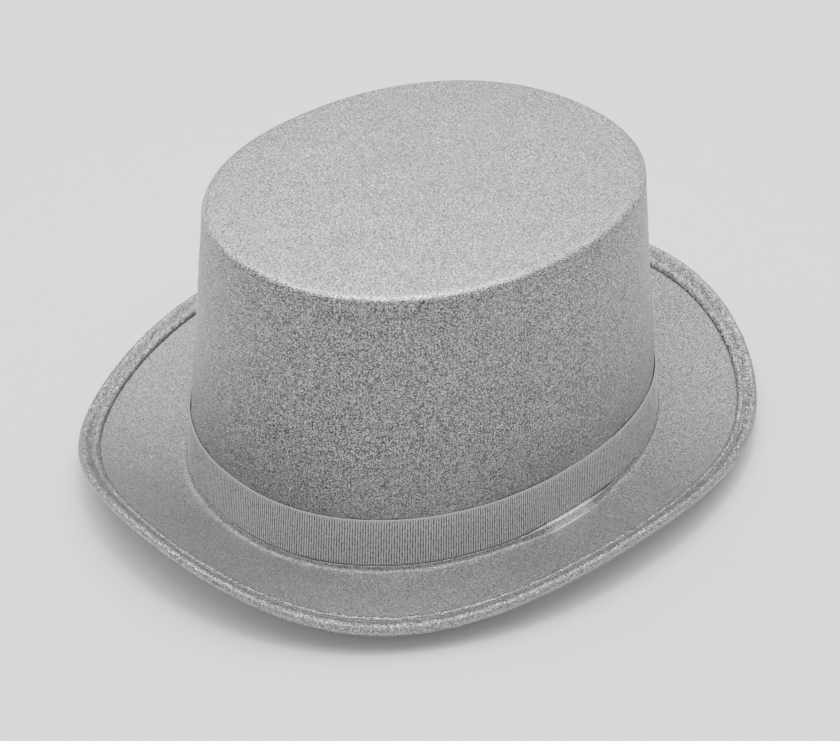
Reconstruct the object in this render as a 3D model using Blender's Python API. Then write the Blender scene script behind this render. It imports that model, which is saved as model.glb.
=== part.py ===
"""Silver party top hat: cloth-covered crown and brim over a stiff foundation, with band, sweatband and linings.

Metres, +Z up, -Y is the front. The origin is under the middle of the brim, on the surface that the hat stands on.
"""

import math

import bmesh
import bpy
import numpy as np

# Crown, measured on the outside of its cloth. Each oval is |x/a|^n + |y/b|^n = 1.
CROWN_BASE_HALF_WIDTH = 0.0886
CROWN_BASE_HALF_LENGTH = 0.1084
CROWN_TIP_HALF_WIDTH = 0.0784
CROWN_TIP_HALF_LENGTH = 0.0942
CROWN_SQUARENESS = 2.15
CROWN_HEIGHT = 0.121
CROWN_SET_BACK = 0.0015
SHOULDER_RADIUS = 0.004

# Brim, measured to the outside of its bound edge.
BRIM_HALF_WIDTH = 0.1298
BRIM_HALF_LENGTH = 0.1518
BRIM_SQUARENESS = 2.21
BRIM_WIDTH = 0.0423
BRIM_RISE = 0.0150
BRIM_RISE_FRONT_OVER_SIDE = 0.0039
BRIM_RISE_FOUR_WAYS = 0.0053
BRIM_FLAT_SHARE = 0.06
BRIM_DISH_POWER = 1.25
BRIM_TURN_SHARES = (0.35, 0.65, 0.94)

# Thicknesses, and the free gap between two pieces that touch.
CLOTH = 0.0005
CROWN_BOARD = 0.0016
BRIM_BOARD = 0.0014
GAP = 0.00035
RIBBON = 0.0007
SWEATBAND_CLOTH = 0.0010

# Bound edge of the brim.
WIRE_RADIUS = 0.0015
BEAD_RADIUS = 0.0028
BINDING_CLOTH = 0.0006
BINDING_TOP_WIDTH = 0.0085
BINDING_UNDER_WIDTH = 0.0075
BINDING_VALLEY = 0.0054
BINDING_RIDGE_HEIGHT = 0.0031
BINDING_RIDGE_INSET = 0.00697
WIRE_MEET_DEGREES = 55
BOARD_EDGE_INSET = 0.0049

# Trim and inside pieces.
BAND_HEIGHT = 0.0216
BAND_LIFT = 0.0022
BAND_GAPE = 0.0022
BAND_GAPE_CENTRE = math.radians(-75)
BAND_GAPE_SPREAD = math.radians(55)
BAND_OVERLAP_STEPS = 3
BAND_SEAM_SHARES = (0.12, 0.88)
BAND_SEAM_STEPS_BACK = 1 / 3
COLLAR_HEIGHT = 0.0120
SWEATBAND_HEIGHT = 0.0320
SWEATBAND_SLIT = 0.0010
SWEATBAND_SEAM_HEIGHT = 0.0040
STAY_HALF_WIDTH = 0.0040
STAY_START = 0.0070
STAY_TOP_MARGIN = 0.0020
SIDE_LINING_START = 0.0180
THREAD_RADIUS = 0.0003

SEGMENTS = 56
SHOULDER_STEPS = 3
THREAD_SIDES = 5
WIRE_SIDES = 8
SHARP_EDGE_DEGREES = 40

# Heights and depths that follow from the sizes above.
BRIM_STACK = 2 * CLOTH + 2 * GAP + BRIM_BOARD
BRIM_MID = BRIM_STACK / 2
CREASE = BRIM_STACK
TIP_TOP = CREASE + CROWN_HEIGHT
CROWN_FOOT = CREASE + GAP
BOARD_DEPTH = CLOTH + GAP
COLLAR_DEPTH = BOARD_DEPTH + CROWN_BOARD + GAP
COLLAR_INNER_DEPTH = COLLAR_DEPTH + BRIM_BOARD
SWEATBAND_DEPTH = COLLAR_INNER_DEPTH + GAP
SWEATBAND_FOOT = CLOTH + GAP
CLOTH_LIFT = BRIM_BOARD / 2 + GAP

FULL_CIRCLE = np.arange(SEGMENTS) * 2 * math.pi / SEGMENTS


def clear_scene():
    for obj in list(bpy.data.objects):
        bpy.data.objects.remove(obj)


def signed_power(values, power):
    return np.sign(values) * np.abs(values) ** power


def oval(half_width, half_length, squareness, theta):
    """Points of an oval, theta running from the front towards +X."""
    x = half_width * signed_power(np.sin(theta), 2 / squareness)
    y = -half_length * signed_power(np.cos(theta), 2 / squareness)
    return x, y


def crown_ring(depth, height, theta=FULL_CIRCLE):
    """One turn at a depth inside the crown's outer face; it narrows from the crease to the tip."""
    climb = max(height - CREASE, 0) / CROWN_HEIGHT
    half_width = CROWN_BASE_HALF_WIDTH + climb * (CROWN_TIP_HALF_WIDTH - CROWN_BASE_HALF_WIDTH)
    half_length = CROWN_BASE_HALF_LENGTH + climb * (CROWN_TIP_HALF_LENGTH - CROWN_BASE_HALF_LENGTH)
    x, y = oval(half_width - depth, half_length - depth, CROWN_SQUARENESS, theta)
    return np.stack([x, y, np.full_like(x, height)], axis=1)


def crown_ring_on_brim(depth, height):
    """The same turn, in the brim's frame."""
    return crown_ring(depth, height) + np.array([0, CROWN_SET_BACK, 0])


def brim_ring(inset, lift, theta=FULL_CIRCLE):
    """One turn at an inset from the brim's edge and a lift above its middle surface."""
    outer_x, outer_y = oval(BRIM_HALF_WIDTH, BRIM_HALF_LENGTH, BRIM_SQUARENESS, theta)
    inner_x, inner_y = oval(CROWN_BASE_HALF_WIDTH, CROWN_BASE_HALF_LENGTH, CROWN_SQUARENESS, theta)
    share = inset / BRIM_WIDTH
    x = outer_x + share * (inner_x - outer_x)
    y = outer_y + share * (inner_y + CROWN_SET_BACK - outer_y)
    edge_rise = (
        BRIM_RISE
        + BRIM_RISE_FRONT_OVER_SIDE * np.cos(2 * theta)
        + BRIM_RISE_FOUR_WAYS * np.cos(4 * theta)
    )
    climb = max(1 - share - BRIM_FLAT_SHARE, 0) / (1 - BRIM_FLAT_SHARE)
    z = BRIM_MID + lift + edge_rise * climb**BRIM_DISH_POWER
    return np.stack([x, y, z], axis=1)


def material(name, colour, roughness, metallic=0.0):
    made = bpy.data.materials.new(name)
    made.use_nodes = True
    shader = made.node_tree.nodes["Principled BSDF"]
    shader.inputs["Base Color"].default_value = (*colour, 1)
    shader.inputs["Roughness"].default_value = roughness
    shader.inputs["Metallic"].default_value = metallic
    return made


def skin(mesh_builder, first, second, wraps):
    """Triangles between two neighbouring turns, cut along each quad's shorter diagonal.

    Pieces that lie on each other are cut alike, so they stay clear of each other where the brim twists.
    """
    count = len(first)
    for here in range(count if wraps else count - 1):
        after = (here + 1) % count
        one, two, three, four = first[here], first[after], second[after], second[here]
        if (one.co - three.co).length > (two.co - four.co).length:
            one, two, three, four = two, three, four, one
        mesh_builder.faces.new((one, two, three))
        mesh_builder.faces.new((one, three, four))


def finish_piece(name, mesh_builder, finish, parent):
    bmesh.ops.recalc_face_normals(mesh_builder, faces=mesh_builder.faces)
    mesh = bpy.data.meshes.new(name)
    mesh_builder.to_mesh(mesh)
    mesh_builder.free()
    mesh.shade_smooth()
    mesh.set_sharp_from_angle(angle=math.radians(SHARP_EDGE_DEGREES))
    mesh.materials.append(finish)
    piece = bpy.data.objects.new(name, mesh)
    piece.parent = parent
    bpy.context.scene.collection.objects.link(piece)
    return piece


def hoop(name, rings, finish, parent):
    """A closed band: its cross-section's points, each carried once round the hat."""
    builder = bmesh.new()
    turns = [[builder.verts.new(point) for point in ring] for ring in rings]
    for here, turn in enumerate(turns):
        skin(builder, turn, turns[(here + 1) % len(turns)], wraps=True)
    return finish_piece(name, builder, finish, parent)


def cup(name, rings, finish, parent):
    """A shell whose first and last turns are closed by flat faces, inside and outside its tip."""
    builder = bmesh.new()
    turns = [[builder.verts.new(point) for point in ring] for ring in rings]
    for here in range(len(turns) - 1):
        skin(builder, turns[here], turns[here + 1], wraps=True)
    builder.faces.new(turns[0])
    builder.faces.new(turns[-1])
    return finish_piece(name, builder, finish, parent)


def strip(name, edges, finish, parent):
    """A ribbon with two ends: the long edges of its cross-section, each carried from one end to the other."""
    builder = bmesh.new()
    lines = [[builder.verts.new(point) for point in edge] for edge in edges]
    for here, line in enumerate(lines):
        skin(builder, line, lines[(here + 1) % len(lines)], wraps=False)
    builder.faces.new([line[0] for line in lines])
    builder.faces.new([line[-1] for line in lines])
    return finish_piece(name, builder, finish, parent)


def shell_rings(depth, thickness, foot):
    """Turns of a crown shell, from the inside of its tip, down the wall, and up to the outside of its tip."""

    def side(side_depth):
        radius = SHOULDER_RADIUS - side_depth / 2
        top = TIP_TOP - side_depth
        arcs = [math.radians(90 * step / SHOULDER_STEPS) for step in range(SHOULDER_STEPS + 1)]
        curve = [(radius * (1 - math.cos(arc)), radius * (1 - math.sin(arc))) for arc in arcs]
        shoulder = [crown_ring(side_depth + inward, top - drop) for inward, drop in curve]
        return [crown_ring(side_depth, foot)] + shoulder

    return side(depth + thickness)[::-1] + side(depth)


def round_profile(inset, lift, radius, sides):
    """Turns of a round cord that follows the brim's edge."""
    angles = [2 * math.pi * side / sides for side in range(sides)]
    return [brim_ring(inset - radius * math.cos(a), lift + radius * math.sin(a)) for a in angles]


def brim_insets():
    """Insets of the turns that shape the brim's dish, from the board's edge to the crown's foot."""
    return [BOARD_EDGE_INSET] + [share * BRIM_WIDTH for share in BRIM_TURN_SHARES]


def crown_foundation(finish, parent):
    cup("crown_foundation", shell_rings(BOARD_DEPTH, CROWN_BOARD, CROWN_FOOT), finish, parent)


def crown_cover(finish, parent):
    cup("crown_cover", shell_rings(0, CLOTH, CROWN_FOOT), finish, parent)


def brim_foundation(finish, parent):
    half = BRIM_BOARD / 2
    insets = brim_insets()
    top = [brim_ring(inset, half) for inset in insets]
    under = [brim_ring(inset, -half) for inset in insets]
    collar_top = CREASE + COLLAR_HEIGHT
    collar = [
        crown_ring_on_brim(COLLAR_DEPTH, BRIM_MID + half),
        crown_ring_on_brim(COLLAR_DEPTH, collar_top),
        crown_ring_on_brim(COLLAR_INNER_DEPTH, collar_top),
        crown_ring_on_brim(COLLAR_INNER_DEPTH, BRIM_MID - half),
    ]
    hoop("brim_foundation", top + collar + under[::-1], finish, parent)


def brim_cloth(name, low, inner_depth, finish, parent):
    """A cloth face of the brim, from under the binding to inside the crown's foot."""
    insets = brim_insets()
    under = [brim_ring(inset, low) for inset in insets]
    top = [brim_ring(inset, low + CLOTH) for inset in insets]
    under.append(crown_ring_on_brim(inner_depth, BRIM_MID + low))
    top.append(crown_ring_on_brim(inner_depth, BRIM_MID + low + CLOTH))
    hoop(name, top + under[::-1], finish, parent)


def brim_binding(finish, parent):
    """Folded cloth round the brim's edge: a fat bead outside, a stitched valley and a small ridge on top."""
    leg = CLOTH_LIFT + CLOTH + GAP
    outer = [
        brim_ring(BINDING_UNDER_WIDTH, -leg),
        brim_ring(BINDING_UNDER_WIDTH, -leg - BINDING_CLOTH),
        brim_ring(BINDING_VALLEY, -leg - BINDING_CLOTH),
    ]
    for degrees in (-90, -45, 0, 45, 90):
        angle = math.radians(degrees)
        inset = BEAD_RADIUS * (1 - math.cos(angle))
        outer.append(brim_ring(inset, BEAD_RADIUS * math.sin(angle)))
    outer += [
        brim_ring(BINDING_VALLEY, leg + BINDING_CLOTH),
        brim_ring(BINDING_RIDGE_INSET, BINDING_RIDGE_HEIGHT),
        brim_ring(BINDING_TOP_WIDTH, leg + BINDING_CLOTH),
        brim_ring(BINDING_TOP_WIDTH, leg),
    ]
    hollow_radius = BEAD_RADIUS - BINDING_CLOTH
    inner = []
    for degrees in (WIRE_MEET_DEGREES, 0, -WIRE_MEET_DEGREES):
        angle = math.radians(degrees)
        inset = BEAD_RADIUS - hollow_radius * math.cos(angle)
        inner.append(brim_ring(inset, hollow_radius * math.sin(angle)))
    hoop("brim_binding", outer + inner, finish, parent)


def brim_edge_wire(finish, parent):
    hoop("brim_edge_wire", round_profile(BEAD_RADIUS, 0, WIRE_RADIUS, WIRE_SIDES), finish, parent)


def binding_stitching(finish, parent):
    lift = CLOTH_LIFT + CLOTH + GAP + BINDING_CLOTH + GAP + THREAD_RADIUS
    rings = round_profile(BINDING_VALLEY, lift, THREAD_RADIUS, THREAD_SIDES)
    hoop("binding_stitching", rings, finish, parent)


def band_gape(theta):
    """How far the ribbon's top edge leans out, in a smooth bulge on one side."""
    away = (theta - BAND_GAPE_CENTRE + math.pi) % (2 * math.pi) - math.pi
    share = np.clip(np.abs(away) / BAND_GAPE_SPREAD, 0, 1)
    return BAND_GAPE * np.cos(share * math.pi / 2) ** 2


def band_route():
    """Angles and stand-off of the ribbon, whose last steps lie over its first ones."""
    start = round(BAND_GAPE_CENTRE / (2 * math.pi) * SEGMENTS)
    steps = np.arange(SEGMENTS + BAND_OVERLAP_STEPS + 1)
    theta = (start + steps) * 2 * math.pi / SEGMENTS
    outer_layer = np.clip(steps - (SEGMENTS - 1), 0, 1)
    return theta, GAP + outer_layer * (RIBBON + GAP)


def band_edge(theta, stand_off, height, gape_share):
    """One long edge of the ribbon."""
    turn = crown_ring(0, height, theta)
    outward = turn[:, :2] / np.linalg.norm(turn[:, :2], axis=1, keepdims=True)
    turn[:, :2] += outward * (stand_off + gape_share * band_gape(theta))[:, None]
    return turn


def hat_band(finish, parent):
    theta, stand_off = band_route()
    foot = CREASE + BAND_LIFT
    top = foot + BAND_HEIGHT
    edges = [
        band_edge(theta, stand_off, foot, 0),
        band_edge(theta, stand_off, top, 1),
        band_edge(theta, stand_off + RIBBON, top, 1),
        band_edge(theta, stand_off + RIBBON, foot, 0),
    ]
    strip("hat_band", edges, finish, parent)


def band_seam_thread(finish, parent):
    """The stitches that hold the ribbon's lapped end, drawn as one short upright bar."""
    theta, stand_off = band_route()
    at = theta[-1:] - 2 * math.pi / SEGMENTS * BAND_SEAM_STEPS_BACK
    face = stand_off[-1:] + RIBBON + GAP
    foot = CREASE + BAND_LIFT
    ends = []
    for share in BAND_SEAM_SHARES:
        height = foot + share * BAND_HEIGHT
        near = band_edge(at, face, height, share)[0]
        far = band_edge(at, face + 2 * THREAD_RADIUS, height, share)[0]
        along = np.array([2 * THREAD_RADIUS, -2 * THREAD_RADIUS, 0])
        ends.append([near, near + along, far + along, far])
    builder = bmesh.new()
    low, high = [[builder.verts.new(point) for point in end] for end in ends]
    skin(builder, low, high, wraps=True)
    builder.faces.new(low)
    builder.faces.new(high)
    finish_piece("band_seam_thread", builder, finish, parent)


def sweatband(finish, parent):
    """A strip inside the head opening, whose ends meet at the back."""
    slit_angle = SWEATBAND_SLIT / CROWN_BASE_HALF_WIDTH
    theta = math.pi + FULL_CIRCLE
    theta = np.append(theta, 3 * math.pi - slit_angle)
    theta[0] += slit_angle
    top = SWEATBAND_FOOT + SWEATBAND_HEIGHT
    inner_depth = SWEATBAND_DEPTH + SWEATBAND_CLOTH
    edges = [
        crown_ring(SWEATBAND_DEPTH, SWEATBAND_FOOT, theta),
        crown_ring(SWEATBAND_DEPTH, top, theta),
        crown_ring(inner_depth, top, theta),
        crown_ring(inner_depth, SWEATBAND_FOOT, theta),
    ]
    strip("sweatband", edges, finish, parent)


def sweatband_stitching(finish, parent):
    """The thread that joins the sweatband to the brim's inner edge."""
    middle = SWEATBAND_DEPTH + SWEATBAND_CLOTH + GAP + THREAD_RADIUS
    height = SWEATBAND_FOOT + SWEATBAND_SEAM_HEIGHT
    angles = [2 * math.pi * side / THREAD_SIDES for side in range(THREAD_SIDES)]
    rings = [
        crown_ring(middle + THREAD_RADIUS * math.cos(a), height + THREAD_RADIUS * math.sin(a))
        for a in angles
    ]
    hoop("sweatband_stitching", rings, finish, parent)


def sweatband_join_stay(finish, parent):
    """A flat stay sewn over the meeting of the sweatband's ends, at the back."""
    depth = SWEATBAND_DEPTH + SWEATBAND_CLOTH + GAP
    half_angle = STAY_HALF_WIDTH / CROWN_BASE_HALF_WIDTH
    theta = math.pi + np.linspace(-half_angle, half_angle, 3)
    foot = SWEATBAND_FOOT + STAY_START
    top = SWEATBAND_FOOT + SWEATBAND_HEIGHT - STAY_TOP_MARGIN
    edges = [
        crown_ring(depth, foot, theta),
        crown_ring(depth, top, theta),
        crown_ring(depth + CLOTH, top, theta),
        crown_ring(depth + CLOTH, foot, theta),
    ]
    strip("sweatband_join_stay", edges, finish, parent)


def side_lining(finish, parent):
    top = TIP_TOP - COLLAR_DEPTH - SHOULDER_RADIUS
    rings = [
        crown_ring(COLLAR_DEPTH, SIDE_LINING_START),
        crown_ring(COLLAR_DEPTH, top),
        crown_ring(COLLAR_DEPTH + CLOTH, top),
        crown_ring(COLLAR_DEPTH + CLOTH, SIDE_LINING_START),
    ]
    hoop("side_lining", rings, finish, parent)


def tip_lining(finish, parent):
    depth = COLLAR_DEPTH + CLOTH + GAP + SHOULDER_RADIUS / 2
    top = TIP_TOP - COLLAR_DEPTH
    cup("tip_lining", [crown_ring(depth, top - CLOTH), crown_ring(depth, top)], finish, parent)


def frame_empty(name, location, parent=None):
    empty = bpy.data.objects.new(name, None)
    empty.location = location
    empty.parent = parent
    bpy.context.scene.collection.objects.link(empty)
    return empty


def main():
    clear_scene()
    hat = frame_empty("hat_frame", (0, 0, 0))
    crown = frame_empty("crown_frame", (0, CROWN_SET_BACK, 0), hat)

    glitter = material("silver_glitter_cloth", (0.42, 0.42, 0.43), 0.45, 0.6)
    binding = material("edge_binding_cloth", (0.40, 0.40, 0.43), 0.55, 0.4)
    board = material("foundation_board", (0.75, 0.75, 0.73), 0.9)
    ribbon = material("grey_grosgrain", (0.26, 0.26, 0.26), 0.8)
    thread = material("grey_thread", (0.35, 0.35, 0.36), 0.7)
    steel = material("edge_wire_steel", (0.55, 0.55, 0.56), 0.35, 1.0)
    sweat_cloth = material("sweatband_cloth", (0.05, 0.05, 0.055), 0.85)
    lining = material("satin_lining", (0.12, 0.12, 0.13), 0.4)

    crown_foundation(board, crown)
    crown_cover(glitter, crown)
    brim_foundation(board, hat)
    brim_cloth("brim_top_cover", CLOTH_LIFT, BOARD_DEPTH + CROWN_BOARD, glitter, hat)
    brim_cloth("brim_under_cover", -CLOTH_LIFT - CLOTH, COLLAR_INNER_DEPTH, glitter, hat)
    brim_binding(binding, hat)
    brim_edge_wire(steel, hat)
    binding_stitching(thread, hat)
    hat_band(ribbon, crown)
    band_seam_thread(thread, crown)
    sweatband(sweat_cloth, crown)
    sweatband_stitching(thread, crown)
    sweatband_join_stay(sweat_cloth, crown)
    side_lining(lining, crown)
    tip_lining(lining, crown)


main()
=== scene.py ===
"""Silver party top hat, finished in cloth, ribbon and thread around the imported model.

Run it as a script in Blender. It is laid out as an add-on: each piece of the hat has an operator, and the
sizes and colours that a maker would change are in two property groups. Lengths are in metres, +Z is up, and
-Y is the front.
"""

import math

import bpy
import numpy as np
from bpy.props import FloatProperty, FloatVectorProperty, PointerProperty
from mathutils import Matrix, Vector


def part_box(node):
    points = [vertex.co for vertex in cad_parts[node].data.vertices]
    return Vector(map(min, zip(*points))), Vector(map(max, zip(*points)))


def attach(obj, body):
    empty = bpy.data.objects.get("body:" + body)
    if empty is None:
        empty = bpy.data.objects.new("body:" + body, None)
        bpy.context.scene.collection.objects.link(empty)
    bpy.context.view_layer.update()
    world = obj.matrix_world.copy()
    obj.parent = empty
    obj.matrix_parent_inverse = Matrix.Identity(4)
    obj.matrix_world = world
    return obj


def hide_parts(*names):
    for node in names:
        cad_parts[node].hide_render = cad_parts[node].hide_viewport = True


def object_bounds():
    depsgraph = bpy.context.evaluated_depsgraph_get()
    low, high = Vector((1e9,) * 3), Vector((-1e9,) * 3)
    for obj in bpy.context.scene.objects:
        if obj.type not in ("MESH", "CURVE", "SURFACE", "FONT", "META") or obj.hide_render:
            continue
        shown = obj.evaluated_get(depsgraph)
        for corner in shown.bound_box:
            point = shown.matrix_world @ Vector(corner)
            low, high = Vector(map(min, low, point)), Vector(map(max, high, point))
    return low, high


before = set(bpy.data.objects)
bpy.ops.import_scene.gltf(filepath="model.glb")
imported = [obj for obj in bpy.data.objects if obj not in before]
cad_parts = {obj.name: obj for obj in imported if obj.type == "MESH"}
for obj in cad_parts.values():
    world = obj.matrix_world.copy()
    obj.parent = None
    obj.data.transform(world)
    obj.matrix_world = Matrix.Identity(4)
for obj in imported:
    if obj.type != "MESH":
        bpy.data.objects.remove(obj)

bl_info = {
    "name": "Party Top Hat",
    "version": (1, 0, 0),
    "blender": (4, 5, 0),
    "location": "View3D > Sidebar > Top Hat",
    "description": "Builds the cloth, ribbon, thread and linings of a party top hat",
    "category": "Object",
}

CAD_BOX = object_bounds()
ROOT = "root"

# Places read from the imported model.
BINDING_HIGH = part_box("brim_binding")[1]
CROWN_LOW, CROWN_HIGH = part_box("crown_cover")
BAND_LOW, BAND_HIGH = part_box("hat_band")
SWEAT_LOW, SWEAT_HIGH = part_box("sweatband")
LINING_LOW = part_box("side_lining")[0]
TIP_LINING_LOW, TIP_LINING_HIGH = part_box("tip_lining")

# The layers of the brim and crown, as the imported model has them.
CLOTH = 0.0005
GAP = 0.00035
CROWN_BOARD = 0.0016
BRIM_BOARD = 0.0014
RIBBON = 0.0007
BRIM_STACK = 2 * CLOTH + 2 * GAP + BRIM_BOARD
BRIM_MID = BRIM_STACK / 2
CREASE = BRIM_STACK
CLOTH_LIFT = BRIM_BOARD / 2 + GAP
BINDING_LEG = CLOTH_LIFT + CLOTH + GAP
LINING_DEPTH = CLOTH + 2 * GAP + CROWN_BOARD
SWEAT_DEPTH = LINING_DEPTH + BRIM_BOARD + GAP
TIP_TOP = CROWN_HIGH.z
CROWN_HEIGHT = TIP_TOP - CREASE
SET_BACK = (CROWN_LOW.y + CROWN_HIGH.y) / 2
AXIS = np.array([0.0, SET_BACK])
TURN = 2 * math.pi
BAND_WIDTH = BAND_HIGH.z - BAND_LOW.z
SELVEDGE = 0.0006
RIBBON_CLOTH = 0.0005
RIBBON_GAP = 0.0002


class HatSizes(bpy.types.PropertyGroup):
    """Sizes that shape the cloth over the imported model."""

    crown_squareness: FloatProperty(
        name="Crown squareness", description="Power of the crown's oval: 2 is an ellipse", default=2.15
    )
    brim_squareness: FloatProperty(
        name="Brim squareness", description="Power of the brim's oval: 2 is an ellipse", default=2.21
    )
    crown_base: FloatVectorProperty(
        name="Crown base", description="Half width and half length at the crease", size=2,
        default=(0.0886, 0.1084), unit="LENGTH",
    )
    crown_tip: FloatVectorProperty(
        name="Crown tip", description="Half width and half length at the tip", size=2,
        default=(0.0784, 0.0942), unit="LENGTH",
    )
    shoulder_radius: FloatProperty(
        name="Shoulder radius", description="Rounding between side and tip", default=0.003, unit="LENGTH"
    )
    brim_width: FloatProperty(
        name="Brim width", description="From the crown's foot to the edge", default=0.0423, unit="LENGTH"
    )
    brim_rise: FloatProperty(
        name="Brim rise", description="Mean height of the edge over the crown's foot", default=0.0150,
        unit="LENGTH",
    )
    brim_front_rise: FloatProperty(
        name="Front rise", description="Extra rise at front and back", default=0.0039, unit="LENGTH"
    )
    brim_corner_dip: FloatProperty(
        name="Corner dip", description="Dip of the edge at the four diagonals", default=0.0053, unit="LENGTH"
    )
    band_gape: FloatProperty(
        name="Band gape", description="How far the ribbon's top edge leans out on one side",
        default=0.0022, unit="LENGTH",
    )
    rib_pitch: FloatProperty(
        name="Rib pitch", description="Spacing of the ribbon's ribs", default=0.00105, unit="LENGTH"
    )
    stitch_pitch: FloatProperty(
        name="Stitch pitch", description="Spacing of the edge's stitches", default=0.0034, unit="LENGTH"
    )
    fleck_size: FloatProperty(
        name="Fleck size", description="Size of a glitter fleck in the cloth", default=0.00028, unit="LENGTH"
    )


class HatColours(bpy.types.PropertyGroup):
    """Colours of the hat's cloths."""

    glitter: FloatVectorProperty(
        name="Glitter cloth", description="Middle tone of the silver cloth", subtype="COLOR",
        default=(0.34, 0.34, 0.342),
    )
    binding: FloatVectorProperty(
        name="Edge binding", description="Tone of the folded edge", subtype="COLOR",
        default=(0.225, 0.225, 0.234),
    )
    ribbon: FloatVectorProperty(
        name="Ribbon", description="Grosgrain band", subtype="COLOR", default=(0.40, 0.403, 0.408)
    )
    thread: FloatVectorProperty(
        name="Thread", description="Sewing thread", subtype="COLOR", default=(0.30, 0.30, 0.31)
    )
    sweatband: FloatVectorProperty(
        name="Sweatband", description="Woven tape inside", subtype="COLOR", default=(0.03, 0.03, 0.033)
    )
    lining: FloatVectorProperty(
        name="Lining", description="Satin inside the crown", subtype="COLOR", default=(0.05, 0.05, 0.055)
    )
    felt: FloatVectorProperty(
        name="Felt", description="Stiffened felt foundation", subtype="COLOR", default=(0.62, 0.62, 0.60)
    )


# Shapes


def sizes():
    return bpy.context.scene.hat_sizes


def colours():
    return bpy.context.scene.hat_colours


def signed_power(values, power):
    return np.sign(values) * np.abs(values) ** power


def crown_place(theta, depth, height):
    """A point of the crown: an oval |x/a|^n + |y/b|^n = 1, whose half axes shrink evenly from crease to tip.

    theta runs from the front towards +X, and depth is how far inside the outer face the point lies.
    """
    size = sizes()
    climb = np.clip((height - CREASE) / CROWN_HEIGHT, 0, 1)
    half_x = size.crown_base[0] + climb * (size.crown_tip[0] - size.crown_base[0]) - depth
    half_y = size.crown_base[1] + climb * (size.crown_tip[1] - size.crown_base[1]) - depth
    power = 2 / size.crown_squareness
    x = half_x * signed_power(np.sin(theta), power)
    y = SET_BACK - half_y * signed_power(np.cos(theta), power)
    return np.stack(np.broadcast_arrays(x, y, height), axis=-1)


def edge_rise(theta):
    """Height of the brim's edge: the mean rise, plus cosines of two and four times the angle."""
    size = sizes()
    waves = size.brim_front_rise * np.cos(2 * theta) + size.brim_corner_dip * np.cos(4 * theta)
    return size.brim_rise + waves


def brim_place(theta, inset, lift):
    """A point of the brim: the outer oval blended into the crown's base, by its inset over the brim's width.

    Its height is the edge's rise times the share of the way out to the power 1.25, so the brim is dished.
    """
    size = sizes()
    power = 2 / size.brim_squareness
    share = inset / size.brim_width
    outer_x = BINDING_HIGH.x * signed_power(np.sin(theta), power)
    outer_y = -BINDING_HIGH.y * signed_power(np.cos(theta), power)
    foot = crown_place(theta, 0.0, CREASE)
    x = outer_x + share * (foot[..., 0] - outer_x)
    y = outer_y + share * (foot[..., 1] - outer_y)
    flat_share, dish_power = 0.06, 1.25
    climb = np.clip(1 - share - flat_share, 0, None) / (1 - flat_share)
    z = BRIM_MID + lift + edge_rise(theta) * climb**dish_power
    return np.stack(np.broadcast_arrays(x, y, z), axis=-1)


def soft_noise(x, y, z, wavelength, seed):
    """A smooth wandering value from about -1 to 1: a sum of nine plane waves in seeded directions."""
    waves = np.random.default_rng(seed)
    total = np.zeros(np.broadcast(x, y, z).shape)
    for _ in range(9):
        direction = waves.normal(size=3)
        direction *= waves.uniform(0.6, 1.5) / np.linalg.norm(direction)
        phase = waves.uniform(0, TURN)
        total += np.sin(TURN / wavelength * (x * direction[0] + y * direction[1] + z * direction[2]) + phase)
    return total / 3.6


def along(points):
    """Distance along rows of points, from each row's first point."""
    steps = np.linalg.norm(np.diff(points, axis=0), axis=-1)
    return np.concatenate([np.zeros((1,) + steps.shape[1:]), np.cumsum(steps, axis=0)])


# Meshes


def grid_faces(rows, columns, wrap_rows, wrap_columns):
    """Corner numbers of the quads of a grid, as rows of four."""
    down = np.arange(rows if wrap_rows else rows - 1)[:, None]
    across = np.arange(columns if wrap_columns else columns - 1)
    below, right = (down + 1) % rows, (across + 1) % columns
    here, under = down * columns, below * columns
    corners = [here + across, here + right, under + right, under + across]
    return np.stack(np.broadcast_arrays(*corners), axis=-1).reshape(-1, 4)


def grid_chart(chart):
    """The chart's values at each quad's corners. A wrapped grid's chart has one more row or column."""
    rows, columns = chart.shape[:2]
    down, across = np.arange(rows - 1)[:, None], np.arange(columns - 1)
    steps = ((0, 0), (0, 1), (1, 1), (1, 0))
    return np.stack([chart[down + row, across + column] for row, column in steps], axis=2).reshape(-1, 2)


def signed_volume(points, faces):
    first = points[faces[:, 0]]
    total = 0.0
    for here in range(1, faces.shape[1] - 1):
        crossed = np.cross(points[faces[:, here]], points[faces[:, here + 1]])
        total += np.einsum("ij,ij->", first, crossed)
    return total


def mesh_piece(name, points, groups, charts):
    """A smooth mesh from points and groups of faces with equal corner counts, turned to face outwards."""
    if sum(signed_volume(points, faces) for faces in groups) < 0:
        groups = [faces[:, ::-1] for faces in groups]
        charts = [
            chart.reshape(len(faces), -1, 2)[:, ::-1].reshape(-1, 2) for chart, faces in zip(charts, groups)
        ]
    mesh = bpy.data.meshes.new(name)
    mesh.vertices.add(len(points))
    mesh.vertices.foreach_set("co", points.astype(np.float32).ravel())
    corners = np.concatenate([faces.ravel() for faces in groups])
    counts = np.concatenate([np.full(len(faces), faces.shape[1]) for faces in groups])
    mesh.loops.add(len(corners))
    mesh.loops.foreach_set("vertex_index", corners.astype(np.int32))
    mesh.polygons.add(len(counts))
    mesh.polygons.foreach_set("loop_start", (np.cumsum(counts) - counts).astype(np.int32))
    layer = mesh.uv_layers.new(name="cloth")
    layer.data.foreach_set("uv", np.concatenate(charts).astype(np.float32).ravel())
    mesh.update(calc_edges=True)
    mesh.validate()
    mesh.shade_smooth()
    piece = bpy.data.objects.new(name, mesh)
    bpy.context.scene.collection.objects.link(piece)
    return piece


def closed(points, axis):
    """The grid with its first row or column once more at its end."""
    return np.concatenate([points, points.take([0], axis)], axis)


def metre_chart(length, girth):
    """A chart in metres: length along the columns and girth along the rows."""
    return np.stack(np.broadcast_arrays(length, girth[:, None]), axis=-1)


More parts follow.
